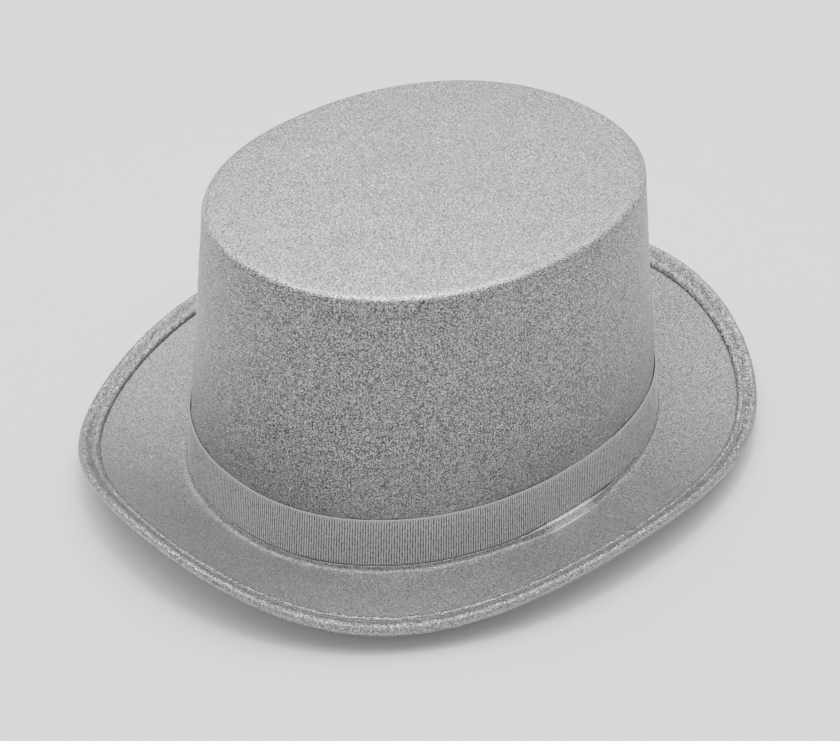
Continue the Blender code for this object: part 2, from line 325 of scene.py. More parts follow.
def hoop_piece(name, points):
    """A closed ring: rows follow its cross-section and columns go round the hat."""
    length = along(np.swapaxes(closed(points, 1), 0, 1))[:, 0]
    chart = metre_chart(length, along(closed(points, 0))[:, 0])
    rows, columns = points.shape[:2]
    faces = grid_faces(rows, columns, True, True)
    return mesh_piece(name, points.reshape(-1, 3), [faces], [grid_chart(chart)])


def strip_piece(name, points, length=None):
    """A ribbon with two closed ends: rows follow its cross-section and columns run along it."""
    rows, columns = points.shape[:2]
    if length is None:
        length = along(np.swapaxes(points, 0, 1))[:, 0]
    chart = metre_chart(length, along(closed(points, 0))[:, 0])
    sides = grid_faces(rows, columns, True, False)
    numbers = np.arange(rows) * columns
    ends = np.stack([numbers, (numbers + columns - 1)[::-1]])
    end_chart = np.tile(points[:, :1, 2], (2, 2))
    return mesh_piece(name, points.reshape(-1, 3), [sides, ends], [grid_chart(chart), end_chart])


def cup_piece(name, points, flat_chart=False):
    """A shell closed at both ends of its rows by a fan to the middle, inside and outside its tip.

    Its chart follows its rows, or, for a flat disc, is its plan.
    """
    rows, columns = points.shape[:2]
    middle_in, middle_out = points[0].mean(axis=0), points[-1].mean(axis=0)
    flat = np.concatenate([points.reshape(-1, 3), [middle_in, middle_out]])
    here = np.arange(columns)
    after = (here + 1) % columns
    last = (rows - 1) * columns
    inner = np.stack([np.full(columns, rows * columns), after, here], axis=-1)
    outer = np.stack([np.full(columns, rows * columns + 1), last + here, last + after], axis=-1)
    around = closed(points, 1)
    chart = around[..., :2]
    if not flat_chart:
        chart = metre_chart(along(np.swapaxes(around, 0, 1)).max(axis=1), along(points)[:, 0])
    fans = np.concatenate([inner, outer])
    charts = [grid_chart(chart), flat[fans, :2].reshape(-1, 2)]
    return mesh_piece(name, flat, [grid_faces(rows, columns, False, True), fans], charts)


def finish_piece(piece, material, node):
    """Gives a piece its material and its place on the hat, and hides the node that it stands for."""
    piece.data.materials.append(material)
    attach(piece, ROOT)
    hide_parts(node)


# Shader arithmetic


class Signal:
    """A socket of a node tree. Each operator on it adds one Math node."""

    def __init__(self, socket):
        self.socket = socket

    @staticmethod
    def node(tree, kind, settings, sockets):
        """Adds a node: its settings first, then the values or links of its sockets."""
        made = tree.nodes.new(kind)
        for name, value in settings.items():
            setattr(made, name, value)
        for name, value in sockets.items():
            Signal.plug(made.inputs[name], value)
        return made

    @staticmethod
    def plug(socket, value):
        """Links a signal to a socket, or sets the socket to a plain value."""
        if isinstance(value, Signal):
            socket.id_data.links.new(value.socket, socket)
        else:
            socket.default_value = value

    def math(self, operation, other, swapped=False):
        first, second = (other, self) if swapped else (self, other)
        made = Signal.node(
            self.socket.id_data, "ShaderNodeMath", {"operation": operation}, {0: first, 1: second}
        )
        return Signal(made.outputs[0])

    def __add__(self, other):
        return self.math("ADD", other)

    __radd__ = __add__

    def __sub__(self, other):
        return self.math("SUBTRACT", other)

    def __rsub__(self, other):
        return self.math("SUBTRACT", other, swapped=True)

    def __mul__(self, other):
        return self.math("MULTIPLY", other)

    __rmul__ = __mul__

    def __rpow__(self, other):
        return self.math("POWER", other, swapped=True)

    def __gt__(self, other):
        return self.math("GREATER_THAN", other)


class Paint:
    """A material under construction, with the few textures that the hat's cloths share."""

    def __init__(self, name):
        self.material = bpy.data.materials.new(name)
        self.material.use_nodes = True
        self.tree = self.material.node_tree
        self.shader = self.tree.nodes["Principled BSDF"]
        self.place = Signal(self.add("ShaderNodeTexCoord").outputs["Object"])
        self.chart = Signal(self.add("ShaderNodeTexCoord").outputs["UV"])
        self.normal = Signal(self.add("ShaderNodeNewGeometry").outputs["Normal"])

    def add(self, kind, settings=None, sockets=None):
        return Signal.node(self.tree, kind, settings or {}, sockets or {})

    def set(self, **values):
        """Sets or links the shader's sockets, whose names are written with _ for a space."""
        for name, value in values.items():
            Signal.plug(self.shader.inputs[name.replace("_", " ")], value)

    def parts(self, vector):
        """The three numbers of a vector or colour."""
        split = self.add("ShaderNodeSeparateXYZ", {}, {0: vector})
        return [Signal(output) for output in split.outputs]

    def cells(self, size):
        """A random colour for each cell of about that size."""
        made = self.add("ShaderNodeTexVoronoi", {}, {"Vector": self.place, "Scale": 1 / size})
        return Signal(made.outputs["Color"])

    def clouds(self, size, detail=2.0):
        """Soft noise from 0 to 1, with features of about that size."""
        sockets = {"Vector": self.place, "Scale": 1 / size, "Detail": detail}
        return Signal(self.add("ShaderNodeTexNoise", {}, sockets).outputs[0])

    def flat_clouds(self, across, up, size):
        """Soft noise from 0 to 1 over two numbers, such as a chart's."""
        place = self.add("ShaderNodeCombineXYZ", {}, {0: across, 1: up})
        sockets = {"Vector": Signal(place.outputs[0]), "Scale": 1 / size, "Detail": 1.0}
        return Signal(self.add("ShaderNodeTexNoise", {}, sockets).outputs[0])

    def waves(self, distance, pitch):
        """A sine of a distance, from -1 to 1, that repeats at a pitch."""
        return (distance * (TURN / pitch)).math("SINE", 0.0)

    def rise(self, value, width):
        """0 below nought, 1 above a width, and a straight slope between."""
        return (value * (1 / width)).math("MINIMUM", 1.0).math("MAXIMUM", 0.0)

    def vector(self, operation, sockets):
        made = self.add("ShaderNodeVectorMath", {"operation": operation}, sockets)
        return Signal(made.outputs[0])

    def shade(self, colour, value):
        """The colour, made lighter or darker by a value around 1."""
        vector = self.add("ShaderNodeCombineXYZ", {}, {0: value, 1: value, 2: value})
        return self.vector("MULTIPLY", {0: Signal(vector.outputs[0]), 1: tuple(colour)})

    def tilted(self, random_colour, amount):
        """The surface's normal, leaning another way in each cell."""
        centred = self.vector("SUBTRACT", {0: random_colour, 1: (0.5, 0.5, 0.5)})
        lean = self.vector("SCALE", {0: centred, "Scale": amount})
        return self.vector("NORMALIZE", {0: self.vector("ADD", {0: self.normal, 1: lean})})

    def bump(self, height, distance):
        sockets = {"Height": height, "Distance": distance, "Strength": 1.0}
        return Signal(self.add("ShaderNodeBump", {}, sockets).outputs[0])


# Finishes


def weave(paint, colour, value, roughness, relief, depth, **gloss):
    """Finishes a fibrous surface with its tone, roughness and relief, and hands back its material."""
    tone, normal = paint.shade(colour, value), paint.bump(relief, depth)
    paint.set(Base_Color=tone, Roughness=roughness, Normal=normal, **gloss)
    return paint.material


WALE_PITCH = 0.0014
FINE_FLECK = 0.7
CLUMP_FLECKS = 4.5
BROAD_PATCH = 0.03
# Painted shade on the crown's side: it is darkened below the tip, and less so near the ribbon.
SIDE_FADE = 0.0008
SIDE_PAINTED_SHADE = 1.18
LOW_SIDE = 0.060
LOW_SIDE_FADE = 0.04
LOW_SIDE_CALM = 2.1
LOW_SIDE_SHADE_EASING = 0.76
# Painted glints and highlight where the cloth bends: more contrast, more flecks painted bright, and at the
# brim's swell a brighter tone.
BEND_CONTRAST = 1.2
BEND_PAINTED_SPARKLE = 0.22
SWELL_PAINTED_HIGHLIGHT = 1.6


def glitter_cloth(name, colour, lean, contrast, sparkle_share, side_contrast=None, bend=None, dullness=0.0):
    """Knit with metal thread: each fleck is a tiny mirror with its own tilt, tone and gloss.

    A fleck's tone is two to a random power, so that dark and bright flecks balance. The contrast for the
    crown's side, if given, applies there, where faint wales run upwards and the cloth is painted darker as
    shade. The contrast calms down and the painted shade eases towards the ribbon. bend gives, from the
    paint, where the cloth turns a tight corner; there the contrast rises and more flecks are painted as
    bright glints.
    Above 1, it also brightens the cloth as a painted highlight. dullness is added to the roughness.
    """
    paint = Paint(name)
    fleck = sizes().fleck_size
    random_colour = paint.cells(fleck)
    tone, gloss, chance = paint.parts(random_colour)
    fine_tone = paint.parts(paint.cells(FINE_FLECK * fleck))[0]
    clumps = paint.clouds(CLUMP_FLECKS * fleck)
    broad = paint.clouds(BROAD_PATCH)
    strength, share = contrast, sparkle_share
    mottle_and_painted_light = 0.4 * (clumps - 0.5) + 0.25 * (broad - 0.5)
    if side_contrast is not None:
        across = paint.parts(paint.chart)[0]
        wales = paint.waves(across, WALE_PITCH)
        height = paint.parts(paint.place)[2]
        side_wales_and_shade = paint.rise(TIP_TOP - SIDE_FADE - height, SIDE_FADE)
        low = paint.rise(LOW_SIDE - height, LOW_SIDE_FADE)
        below_tip = paint.rise(TIP_TOP - 0.25 * SIDE_FADE - height, SIDE_FADE)
        strength = contrast + (side_contrast - contrast) * below_tip - LOW_SIDE_CALM * low
        # Painted shade: the crown's side is darkened below the tip and lightened back in part near the
        # ribbon; the wales are the knit's own.
        mottle_and_painted_light = mottle_and_painted_light + side_wales_and_shade * (0.10 * wales - SIDE_PAINTED_SHADE) + LOW_SIDE_SHADE_EASING * low
    if bend is not None:
        # Painted glints: at a bend more flecks are painted bright, and past 1 the whole cloth is painted
        # lighter as a highlight.
        painted_glint_mask = bend(paint)
        strength = strength + BEND_CONTRAST * painted_glint_mask
        share = sparkle_share + BEND_PAINTED_SPARKLE * painted_glint_mask
        mottle_and_painted_light = mottle_and_painted_light + SWELL_PAINTED_HIGHLIGHT * (painted_glint_mask - 1.0).math("MAXIMUM", 0.0)
    sparkle = chance + share > 1
    value = 2 ** (strength * (tone + 0.6 * fine_tone - 0.8) + mottle_and_painted_light) + 0.6 * sparkle
    paint.set(
        Base_Color=paint.shade(colour, value),
        Roughness=0.36 + dullness + 0.2 * gloss - 0.2 * sparkle,
        Metallic=0.8,
        Normal=paint.tilted(random_colour, lean),
    )
    return paint.material


SHOULDER_BELOW_TIP = 0.0001
SHOULDER_DEPTH = 0.0022
SWELL_HALF_LENGTH = 0.019
SWELL_FADE = 0.011


def shoulder_bend(paint):
    """Where the crown's cloth turns from its side to its tip, the mask for its painted glints."""
    height = paint.parts(paint.place)[2]
    under_tip = paint.rise(TIP_TOP - SHOULDER_BELOW_TIP - height, 0.0003)
    return under_tip * paint.rise(height - TIP_TOP + SHOULDER_DEPTH, 0.0004)


def bend_past(start):
    """Where the brim cloth turns up at its root, past a distance across its chart, and most at its swell."""
    middle = float(crown_place(ROLL_SWELL_CENTRE, 0.0, CREASE)[1])

    # The mask places painted glints along the brim's turned-up root and a painted highlight on its swell.
    def bend(paint):
        x, y, _ = paint.parts(paint.place)
        from_middle = (y - middle).math("ABSOLUTE", 0.0)
        swell = paint.rise(SWELL_HALF_LENGTH - from_middle, SWELL_FADE) * (x > 0)
        return (0.5 + 1.2 * swell) * paint.rise(paint.parts(paint.chart)[1] - start, 0.0004)

    return bend


CROSS_THREAD_PITCH = 0.0006


def grosgrain(name, colour):
    """Ribbed ribbon: painted shade in the furrows between ribs that cross threads break up, and plain pale
    selvedges.
    """
    paint = Paint(name)
    length, girth, _ = paint.parts(paint.chart)
    rib = length * (1 / sizes().rib_pitch)
    waver = paint.clouds(0.004)
    ribs = ((rib + 0.25 * (waver - 0.5)) * TURN).math("COSINE", 0.0) * 0.5 + 0.5
    threads = paint.waves(girth, CROSS_THREAD_PITCH)
    breaks = paint.flat_clouds(rib, girth * (0.5 / CROSS_THREAD_PITCH), 1.0)
    selvedge = (girth - 0.5 * BAND_WIDTH).math("ABSOLUTE", 0.0) > 0.5 * BAND_WIDTH - SELVEDGE
    ribs = ribs + selvedge * (0.5 - ribs)
    clouds = paint.clouds(0.006)
    grain = paint.clouds(0.0005)
    woven = 0.10 * threads + 1.5 * (breaks - 0.5)
    # Painted shade: the furrows between ribs are darker and the rib tops lighter in tone.
    value = 0.22 + 1.25 * ribs + (1 - selvedge) * woven + 0.08 * (clouds - 0.5) + 0.5 * (grain - 0.5)
    value, roughness = value.math("MAXIMUM", 0.08), 0.72 + 0.12 * (1 - ribs)
    relief = ribs * 0.7 + threads * 0.12 + grain * 0.3
    return weave(paint, colour, value, roughness, relief, 0.00012, Sheen_Weight=0.25, Sheen_Roughness=0.5)


def spun_thread(name, colour):
    """Twisted sewing thread, with its plies running round it."""
    paint = Paint(name)
    length, girth, _ = paint.parts(paint.chart)
    plies = paint.waves(length + 0.6 * girth, 0.0006)
    fuzz = paint.clouds(0.0002)
    value = 0.92 + 0.14 * plies + 0.2 * (fuzz - 0.5)
    relief = plies * 0.5 + fuzz * 0.3
    return weave(paint, colour, value, 0.6 + 0.15 * fuzz, relief, 0.00006, Sheen_Weight=0.2)


def twill_tape(name, colour):
    """Woven tape: slanting twill lines crossed by fine warp threads."""
    paint = Paint(name)
    length, girth, _ = paint.parts(paint.chart)
    slant = paint.waves(length + girth, 0.0011)
    warp = paint.waves(length, 0.0004)
    worn = paint.clouds(0.012)
    grain = paint.clouds(0.0003)
    value = 1 + 0.22 * slant + 0.08 * warp + 0.5 * (worn - 0.5) + 0.3 * (grain - 0.5)
    relief, roughness = slant * 0.5 + warp * 0.2 + grain * 0.3, 0.8 - 0.12 * worn
    return weave(paint, colour, value, roughness, relief, 0.00012, Sheen_Weight=0.3, Sheen_Roughness=0.6)


def satin(name, colour):
    """Smooth lining: fine cross threads and a soft uneven gloss."""
    paint = Paint(name)
    length, girth, _ = paint.parts(paint.chart)
    warp = paint.waves(length, 0.0003)
    weft = paint.waves(girth, 0.0003)
    clouds = paint.clouds(0.01)
    slubs = paint.clouds(0.0015)
    value = 1 + 0.08 * warp + 0.05 * weft + 0.3 * (clouds - 0.5) + 0.15 * (slubs - 0.5)
    relief, roughness = warp * 0.2 + weft * 0.2 + slubs * 0.4, 0.34 + 0.14 * clouds
    return weave(paint, colour, value, roughness, relief, 0.00006, Sheen_Weight=0.4, Sheen_Roughness=0.35)


def pressed_felt(name, colour):
    """Stiffened felt: matted fibres and a mottled tone."""
    paint = Paint(name)
    fibres = paint.clouds(0.0007, 6.0)
    mottle = paint.clouds(0.009, 3.0)
    value = 0.9 + 0.3 * (fibres - 0.5) + 0.25 * (mottle - 0.5)
    return weave(paint, colour, value, 0.85 + 0.1 * fibres, fibres, 0.0003)


def covered_wire(name, colour):
    """Steel wire under a tight winding of thread, drawn as fine rings along X and Y."""
    paint = Paint(name)
    along_x, along_y, _ = paint.parts(paint.place)
    winding = paint.waves(along_x + along_y, 0.0005)
    worn = paint.clouds(0.003)
    value = 0.9 + 0.12 * winding + 0.2 * (worn - 0.5)
    return weave(paint, colour, value, 0.45 + 0.2 * worn, winding, 0.00008, Metallic=0.3)


# Pieces

ROUND = 720
CROWN_FOOT = CREASE + GAP
EDGE_INSET = 0.0049
BEAD_RADIUS = 0.0028
BINDING_CLOTH = 0.0006
BINDING_TOP_WIDTH = 0.0085
BINDING_UNDER_WIDTH = 0.0075
VALLEY_INSET = 0.0056
THREAD_RADIUS = 0.00022
VALLEY_LIFT = 0.0022
BINDING_RIDGE = 0.0012
TIP_DOME = 0.0004
BRIM_ROWS = 44
ROLL_RISE = 0.0019
ROLL_REACH = 0.0009
ROLL_SWELL = 0.0013
ROLL_STEP = 0.0009
ROLL_SWELL_CENTRE = math.radians(89)
ROLL_SWELL_SPREAD = math.radians(9)
RIB_STEPS = 5
RIB_HEIGHT = 0.0001
LAP_RAMP = math.radians(6.4)
SEAM_STITCHES = 6
STITCH_BOW = 0.0001
SWEAT_SLIT = 0.0015
SWEAT_TAPE = 0.0010
SWEAT_LEAN = 0.0012
SWEAT_WAVE = 0.00035
SWEAT_STITCH_PITCH = 0.004
SWEAT_STITCH_HEIGHT = 0.004
STAY_HALF_WIDTH = 0.004
LINING_CLOTH = 0.0003
GATHERS = 84
GATHER_DEPTH = 0.0009
TIP_LINING_SAG = 0.0016
LAP_START = math.radians(-77.1)
LAP_END = math.radians(-57.9)
GAPE_CENTRE = math.radians(-75)
GAPE_SPREAD = math.radians(55)


def full_turn(columns=ROUND):
    return np.arange(columns) * TURN / columns


def wandering(points, wavelength, seed):
    return soft_noise(points[..., 0], points[..., 1], points[..., 2], wavelength, seed)


def perimeter(place, *where):
    """Length once round the brim or the crown, by the function that gives its places."""
    return float(along(place(np.append(full_turn(), 0.0), *where))[-1])


def crown_side(theta, depth, rows):
    """Rows up one straight face of the crown's side, from its foot to the start of the shoulder."""
    heights = np.linspace(CROWN_FOOT, TIP_TOP - depth - sizes().shoulder_radius, rows)
    return crown_place(theta, depth, heights[:, None])


def crown_tip(theta, depth, rows):
    """Rows round the shoulder's quarter circle and then over the tip, whose ovals shrink to the middle."""
    radius = sizes().shoulder_radius
    arc = np.linspace(0, math.pi / 2, 13)[1:]
    inward = depth + radius * (1 - np.cos(arc))
    drop = radius * (1 - np.sin(arc))
    shoulder = crown_place(theta, inward[:, None], (TIP_TOP - depth - drop)[:, None])
    rim = shoulder[-1]
    middle = np.array([0.0, SET_BACK, rim[0, 2]])
    share = np.linspace(1, 0.02, rows)[1:, None, None]
    tip = middle + share * (rim - middle)
    return np.concatenate([shoulder, tip])


class HAT_OT_crown_cloth(bpy.types.Operator):
    """Covers the crown's side and tip in one moulded cloth"""

    bl_idname = "hat.crown_cloth"
    bl_label = "Crown Cloth"

    def execute(self, context):
        theta = full_turn()
        outer = np.concatenate([crown_side(theta, 0.0, 64), crown_tip(theta, 0.0, 34)])
        inner = np.concatenate([crown_side(theta, CLOTH, 6), crown_tip(theta, CLOTH, 6)])
        sag = 0.00016 * wandering(outer, 0.045, 3) + 0.00008 * wandering(outer, 0.012, 4)
        from_axis = outer[..., :2] - AXIS
        reach = np.linalg.norm(from_axis, axis=-1)
        on_side = np.clip((TIP_TOP - outer[..., 2]) / 0.004, 0, 1)
        outer[..., :2] += from_axis * (sag * on_side / reach)[..., None]
        on_tip = outer[..., 2] > TIP_TOP - 0.00001
        share = np.clip(reach / reach[on_tip.all(axis=1)][0], 0, 1)
        outer[..., 2] += on_tip * (TIP_DOME * (1 - share**2) + np.abs(sag) * (1 - share**6))
        piece = cup_piece("crown_cloth", np.concatenate([inner[::-1], outer]))
        tone = colours().glitter
        # The crown's side is painted darker as shade, and its shoulder gets painted glints.
        cloth = glitter_cloth("crown_glitter_cloth", tone, 0.6, 1.9, 0.02, side_contrast=4.3, bend=shoulder_bend)
        finish_piece(piece, cloth, "crown_cover")
        return {"FINISHED"}


def brim_face(theta, lift, inner_depth, rows):
    """Rows over one face of the brim, from under the binding to inside the crown's foot."""
    insets = np.linspace(EDGE_INSET, sizes().brim_width, rows)
    sheet = brim_place(theta, insets[:, None], lift)
    depths = np.linspace(0, inner_depth, 4)[1:]
    tucked = crown_place(theta, depths[:, None], BRIM_MID + lift)
    return np.concatenate([sheet, tucked])


def brim_top_face(theta, lift, inner_depth, rows):
    """The upper face. It turns up in a quarter circle against the crown's foot and goes down behind it."""
    away = (theta - ROLL_SWELL_CENTRE + math.pi) % TURN - math.pi
    swell = np.exp(-((away / ROLL_SWELL_SPREAD) ** 4))
    stepped_out = 1 - np.exp(-25 * swell)
    rise = ROLL_RISE + ROLL_SWELL * (0.4 * stepped_out + 0.6 * swell)
    reach = ROLL_REACH + 0.25 * ROLL_SWELL * swell
    lip = CLOTH + ROLL_SWELL * swell
    behind_lip = GAP + ROLL_STEP * stepped_out
    stand_off = behind_lip + lip
    share = np.linspace(0, 1, rows)[:, None]
    insets = EDGE_INSET + share * (sizes().brim_width - stand_off - reach - EDGE_INSET)
    sheet = brim_place(theta, insets, lift)
    arc = np.linspace(0, math.pi / 2, 9)[1:]
    base = BRIM_MID + lift
    out = stand_off + reach * (1 - np.sin(arc))[:, None]
    roll = crown_place(theta, -out, base + rise * (1 - np.cos(arc))[:, None])
    over = np.linspace(0, math.pi, 7)[1:-1, None]
    rim_depth = -(behind_lip + lip * (0.5 + 0.5 * np.cos(over)))
    rim = crown_place(theta, rim_depth, base + rise + 0.35 * lip * np.sin(over))
    down = crown_place(theta, -behind_lip, base + rise * np.array([1.0, 0.0])[:, None])
    tucked = crown_place(theta, np.array([0.5, 1.0])[:, None] * inner_depth, base)
    behind = np.concatenate([down, tucked])
    return np.concatenate([sheet, roll, rim, behind])


class HAT_OT_brim_cloths(bpy.types.Operator):
    """Lays the cloth faces over and under the brim's board"""

    bl_idname = "hat.brim_cloths"
    bl_label = "Brim Cloths"

    def execute(self, context):
        theta = full_turn()
        inner_depth = LINING_DEPTH + BRIM_BOARD
        # Painted shade: the brim's cloth is the crown's glitter painted darker, to stand for the shade on
        # the brim.
        tone = [0.80 * part for part in colours().glitter]
        faces = (
            ("brim_top_cloth", "brim_top_cover", CLOTH_LIFT, CLOTH + GAP + CROWN_BOARD, 5, 0.00012),
            ("brim_under_cloth", "brim_under_cover", -CLOTH_LIFT - CLOTH, inner_depth, 6, -0.00012),
        )
        for name, node, low, depth, seed, sag in faces:
            upper = sag > 0
            top = (brim_top_face if upper else brim_face)(theta, low + CLOTH, depth, BRIM_ROWS)
            under = brim_face(theta, low, depth, 14)
            shown = top if upper else under
            fade = np.clip((np.abs(shown[..., 2] - BRIM_MID) - 0.0016) / 0.002, 0, 1)
            shown[..., 2] += sag * wandering(shown, 0.03, seed) * fade
            piece = hoop_piece(name, np.concatenate([top, under[::-1]]))
            # The brim's upper cloth gets painted glints along its turned-up root and a painted highlight on
            # its swell.
            rolled = bend_past(float(along(top[:BRIM_ROWS])[-1, 0])) if upper else None
            cloth = glitter_cloth(name + "_finish", tone, 0.6, 1.5, 0.05, bend=rolled, dullness=0.14)
            finish_piece(piece, cloth, node)
        return {"FINISHED"}


def binding_outside():
    """Inset and lift round the fold's outer face: under leg, round bead, stitched valley, small ridge."""
    arc = np.linspace(-math.pi / 2, math.pi / 2, 25)
    bead = np.stack([BEAD_RADIUS * (1 - np.cos(arc)), BEAD_RADIUS * np.sin(arc)], axis=-1)
    leg = BINDING_LEG + BINDING_CLOTH
    under = np.stack([np.linspace(BINDING_UNDER_WIDTH, BEAD_RADIUS, 10)[:-1], np.full(9, -leg)], axis=-1)
    under[:, 1] -= 0.0003 * np.linspace(0, 1, 9) ** 2
    across = np.linspace(0, 1, 10)[1:]
    slope = BEAD_RADIUS + across * (VALLEY_INSET - BEAD_RADIUS)
    fall = BEAD_RADIUS - (BEAD_RADIUS - VALLEY_LIFT) * (0.5 - 0.5 * np.cos(math.pi * across))
    valley = np.stack([slope, fall], axis=-1)
    around = np.linspace(0, math.pi, 15)[1:]
    ridge_width = BINDING_TOP_WIDTH - VALLEY_INSET
    ridge_in = VALLEY_INSET + ridge_width * (0.5 - 0.5 * np.cos(around))
    ridge_up = VALLEY_LIFT + BINDING_RIDGE * np.sin(around) ** 0.8 - 0.0002 * around / math.pi
    ridge = np.stack([ridge_in, ridge_up], axis=-1)
    return np.concatenate([under, bead, valley, ridge])


def binding_inside():
    """Inset and lift back along the folded edge's inner face, round the wire."""
    hollow = BEAD_RADIUS - BINDING_CLOTH
    meet = math.asin(BINDING_LEG / hollow)
    arc = np.linspace(meet, -meet, 13)
    ring = np.stack([BEAD_RADIUS - hollow * np.cos(arc), hollow * np.sin(arc)], axis=-1)
    first = [[BINDING_TOP_WIDTH - 0.0001, BINDING_LEG]]
    last = [[BINDING_UNDER_WIDTH, -BINDING_LEG]]
    return np.concatenate([first, ring, last])


class HAT_OT_edge_binding(bpy.types.Operator):
    """Folds the binding round the brim's edge, puckered a little by its stitches"""

    bl_idname = "hat.edge_binding"
    bl_label = "Edge Binding"

    def execute(self, context):
        theta = full_turn(1200)
        outside, inside = binding_outside(), binding_inside()
        profile = np.concatenate([outside, inside])
        points = brim_place(theta, profile[:, :1], profile[:, 1:])
        shown = np.zeros(len(profile))
        shown[9 : len(outside) - 1] = 1.0
        stitches = perimeter(brim_place, VALLEY_INSET, 0.0) / sizes().stitch_pitch
        pucker = 0.00005 * np.cos(theta * round(stitches)) * np.exp(
            -(((profile[:, :1] - VALLEY_INSET) / 0.0016) ** 2)
        )
        crumple = 0.00020 * wandering(points, 0.0085, 7) + 0.00015 * wandering(points, 0.0034, 8)
        top_side = np.where(profile[:, 1] > 0, 1.0, -1.0)
        points[..., 2] += (pucker + crumple * top_side[:, None] * 0.7) * shown[:, None]
        piece = hoop_piece("edge_binding", points)
        cloth = glitter_cloth("edge_binding_cloth", colours().binding, 0.8, 2.6, 0.05)
        finish_piece(piece, cloth, "brim_binding")
        length = perimeter(brim_place, BEAD_RADIUS, 0.0)
        return {"FINISHED"}


def stitch_row(start, end, up, bulge):
    """Many short threads at once: each runs from start to end, bows towards up and is closed at its ends."""
    along_rows = np.array([0.0, 0.06, 0.3, 0.5, 0.7, 0.94, 1.0])
    girth = THREAD_RADIUS * np.array([0.25, 0.85, 1.0, 1.0, 1.0, 0.85, 0.25])
    sides = np.arange(6) * TURN / 6
    run = end - start
    forward = run / np.linalg.norm(run, axis=-1, keepdims=True)
    side = np.cross(forward, up)
    side /= np.linalg.norm(side, axis=-1, keepdims=True)
    top = np.cross(side, forward)
    middle = start[:, None] + along_rows[:, None] * run[:, None]
    middle += bulge * np.sin(math.pi * along_rows)[:, None] * top[:, None]
    ring = np.cos(sides)[:, None] * side[:, None] + np.sin(sides)[:, None] * top[:, None]
    return middle[:, :, None] + girth[:, None, None] * ring[:, None]


def stitches_piece(name, threads):
    """One object of many closed threads."""
    count, rows, sides = threads.shape[:3]
    size = rows * sides
    offsets = (np.arange(count) * size)[:, None, None]
    quads = (grid_faces(rows, sides, False, True)[None] + offsets).reshape(-1, 4)
    first, last = np.arange(sides)[::-1], np.arange(sides) + (rows - 1) * sides
    ends = (np.stack([first, last])[None] + offsets).reshape(-1, sides)
    quad_chart = np.tile([[0, 0], [0, 1e-3], [1e-3, 1e-3], [1e-3, 0]], (len(quads), 1))
    return mesh_piece(name, threads.reshape(-1, 3), [quads, ends], [quad_chart, np.zeros((ends.size, 2))])


class HAT_OT_edge_stitches(bpy.types.Operator):
    """Sews the row of stitches in the binding's valley"""

    bl_idname = "hat.edge_stitches"
    bl_label = "Edge Stitches"

    def execute(self, context):
        count = round(perimeter(brim_place, VALLEY_INSET, 0.0) / sizes().stitch_pitch)
        middle = np.arange(count) * TURN / count
        half = 0.34 * TURN / count
        lift = VALLEY_LIFT + 0.25 * THREAD_RADIUS
        start = brim_place(middle - half, VALLEY_INSET, lift)
        end = brim_place(middle + half, VALLEY_INSET + 0.0002, lift)
        threads = stitch_row(start, end, np.array([0.0, 0.0, 1.0]), 1.2 * STITCH_BOW)
        piece = stitches_piece("edge_stitches", threads)
        finish_piece(piece, spun_thread("edge_thread", colours().thread), "binding_stitching")
        return {"FINISHED"}


def band_gape(theta):
    """Lean of the ribbon's top edge: a smooth bulge, the square of a cosine, on one side of the crown."""
    away = (theta - GAPE_CENTRE + math.pi) % TURN - math.pi
    share = np.clip(np.abs(away) / GAPE_SPREAD, 0, 1)
    return sizes().band_gape * np.cos(share * math.pi / 2) ** 2


def band_place(theta, climb, stand_off):
    """A point of the ribbon at an angle and a share of its height, standing off the crown."""
    height = BAND_LOW.z + climb * BAND_WIDTH
    point = crown_place(theta, 0.0, height)
    outward = point[..., :2] - AXIS
    outward = outward / np.linalg.norm(outward, axis=-1, keepdims=True)
    drift = 0.00012 + 0.00012 * wandering(point, 0.05, 12)
    reach = stand_off + climb * band_gape(theta) + drift * (0.4 + 0.6 * climb)
    point[..., :2] += outward * np.asarray(reach)[..., None]
    return point


class HAT_OT_ribbon_band(bpy.types.Operator):
    """Winds the ribbed ribbon round the crown's foot and laps its ends"""

    bl_idname = "hat.ribbon_band"
    bl_label = "Ribbon Band"

    def execute(self, context):
        even = np.linspace(LAP_START, LAP_END + TURN, 2000)
        route = along(crown_place(even, 0.0, BAND_LOW.z))
        pitch = sizes().rib_pitch
        columns = RIB_STEPS * round(route[-1] / pitch) + 1
        length = np.linspace(0, route[-1], columns)
        theta = np.interp(length, route, even)
        rib_phase = np.cos(TURN * length / pitch)
        over = np.clip((theta - LAP_START - TURN + LAP_RAMP) / LAP_RAMP, 0, 1)
        layer = RIBBON_GAP + (RIBBON + GAP) * over * over * (3 - 2 * over)
        climb = np.array([0.0, 0.012, 0.03, 0.045, 0.06, 0.2, 0.5, 0.8, 0.94, 0.955, 0.97, 0.988, 1.0])
        selvedge = np.clip((0.5 - np.abs(climb - 0.5) - 0.032) / 0.02, 0, 1)
        edge_round = np.where((climb == 0) | (climb == 1), 0.35, np.where(selvedge == 0, 0.8, 1.0))
        ridge = RIB_HEIGHT * rib_phase * selvedge[:, None]
        face = layer + RIBBON_CLOTH * edge_round[:, None] + ridge
        outer = band_place(theta, climb[:, None], face)
        inner = band_place(theta, np.array([1.0, 0.5, 0.0])[:, None], layer)
        piece = strip_piece("ribbon_band", np.concatenate([outer, inner]), length)
        ribbon = grosgrain("ribbed_ribbon", colours().ribbon)
        finish_piece(piece, ribbon, "hat_band")
        return {"FINISHED"}


